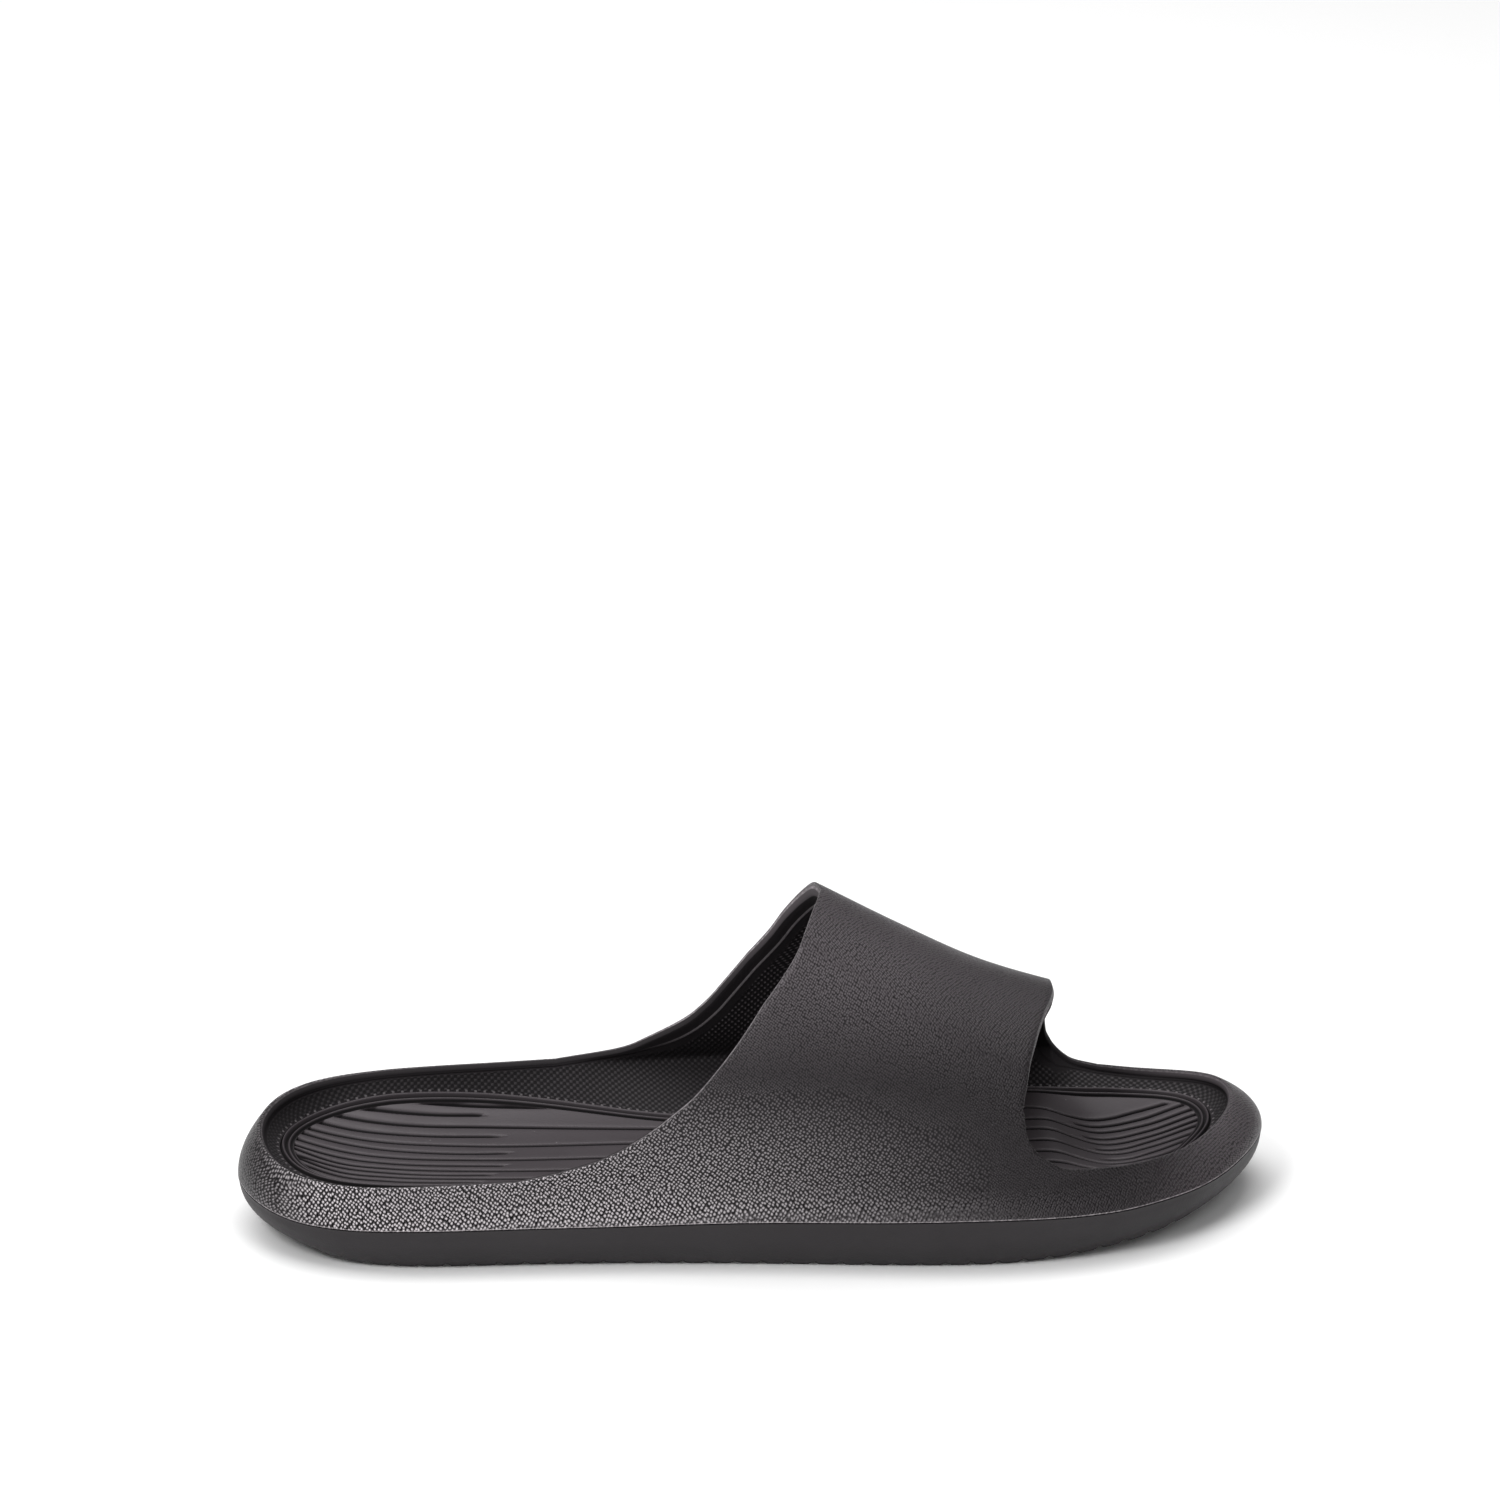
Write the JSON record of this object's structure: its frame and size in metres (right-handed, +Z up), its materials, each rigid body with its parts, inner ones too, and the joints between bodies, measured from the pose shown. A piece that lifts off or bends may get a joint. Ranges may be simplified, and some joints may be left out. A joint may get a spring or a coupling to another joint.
{
  "type": "slide sandal",
  "caption": "Right slide sandal: moulded strap and rim in one piece, dished ribbed footbed with a bead border, and a smooth-banded sole with a wavy tread.",
  "frame": {"origin": "on the floor, under the middle of the shoe's length and width", "axes": "+X towards the toe, +Y towards the inner side of the foot, +Z up"},
  "size_m": [0.29, 0.1044, 0.0934],
  "materials": {
    "upper_grained": "moulded foam with a pebbled grain",
    "footbed_satin": "satin moulded foam, ribbed",
    "sole_smooth": "smooth matte moulded foam"
  },
  "bodies": {
    "root": {"upper": "upper_grained", "footbed": "footbed_satin", "sole": "sole_smooth"}
  },
  "joints": []
}
